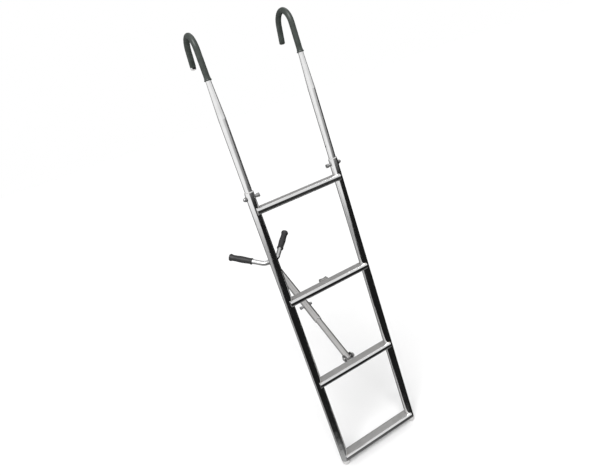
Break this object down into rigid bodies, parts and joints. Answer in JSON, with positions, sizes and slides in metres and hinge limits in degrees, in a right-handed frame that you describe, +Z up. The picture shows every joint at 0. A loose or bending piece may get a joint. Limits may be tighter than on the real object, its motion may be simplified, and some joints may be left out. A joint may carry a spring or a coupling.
{
  "type": "boat boarding ladder",
  "caption": "Round-rail boarding ladder with flat steps, telescoping rubber-sleeved hooks for a boat's edge, and a folding, telescoping stand-off arm with a forked, rubber-gripped end.",
  "frame": {"origin": "midway between the two hooks, at the inside of their sleeved crowns, where the boat's edge bears", "axes": "+X across the steps from the left to the right rail as a climber sees them, +Y towards the boat, +Z up along the rails"},
  "size_m": [0.2988, 0.6046, 1.3048],
  "materials": {
    "polished_steel": "mirror-polished stainless steel",
    "step_steel": "stainless steel, blasted matte on the standing face and polished on the nose",
    "satin_steel": "satin stainless steel",
    "fastener_steel": "bright stainless steel",
    "rubber_sleeve": "satin dark grey-green rubber",
    "rubber_grip": "matte black rubber",
    "plastic": "light grey nylon"
  },
  "bodies": {
    "ladder": {"left_rail": "polished_steel", "right_rail": "polished_steel", "step_1": "step_steel", "step_2": "step_steel", "step_3": "step_steel", "step_4": "step_steel", "left_foot_plug": "plastic", "right_foot_plug": "plastic", "left_guide_bush": "plastic", "right_guide_bush": "plastic", "left_clamp_bolt": "fastener_steel", "right_clamp_bolt": "fastener_steel", "left_cap_nut": "fastener_steel", "right_cap_nut": "fastener_steel", "pivot_bracket": "satin_steel", "pivot_bolt": "fastener_steel", "pivot_nut": "fastener_steel", "stow_saddle": "satin_steel"},
    "left_hook": {"left_hook_tube": "polished_steel", "left_hook_sleeve": "rubber_sleeve", "left_hook_plug": "plastic"},
    "right_hook": {"right_hook_tube": "polished_steel", "right_hook_sleeve": "rubber_sleeve", "right_hook_plug": "plastic"},
    "left_knob": {"left_clamp_knob": "fastener_steel"},
    "right_knob": {"right_clamp_knob": "fastener_steel"},
    "arm": {"arm_inner_tube": "satin_steel", "arm_foot_plug": "plastic"},
    "arm_end": {"arm_outer_tube": "satin_steel", "arm_guide_bush": "plastic", "arm_clamp_bolt": "fastener_steel", "arm_cap_nut": "fastener_steel", "fork_tube": "polished_steel", "left_fork_grip": "rubber_grip", "right_fork_grip": "rubber_grip"},
    "arm_knob": {"arm_clamp_knob": "fastener_steel"}
  },
  "joints": [
    {"name": "left_hook_slide", "type": "slide", "parent": "ladder", "child": "left_hook", "axis": [0, 0, 1], "range_m": [0, 0.1]},
    {"name": "right_hook_slide", "type": "slide", "parent": "ladder", "child": "right_hook", "axis": [0, 0, 1], "range_m": [0, 0.1]},
    {"name": "left_knob_turn", "type": "hinge", "parent": "ladder", "child": "left_knob", "pos_m": [-0.128, -0.039, -0.4012], "axis": [1, 0, 0], "continuous": true},
    {"name": "right_knob_turn", "type": "hinge", "parent": "ladder", "child": "right_knob", "pos_m": [0.128, -0.039, -0.4012], "axis": [1, 0, 0], "continuous": true},
    {"name": "arm_swing", "type": "hinge", "parent": "ladder", "child": "arm", "pos_m": [0, -0.003, -0.9832], "axis": [1, 0, 0], "range_deg": [-28, 62]},
    {"name": "arm_extend", "type": "slide", "parent": "arm", "child": "arm_end", "axis": [0, 0.8829, 0.4695], "range_m": [-0.06, 0.1]},
    {"name": "arm_knob_turn", "type": "hinge", "parent": "arm_end", "child": "arm_knob", "pos_m": [0, 0.21332, -0.86818], "axis": [1, 0, 0], "continuous": true}
  ]
}
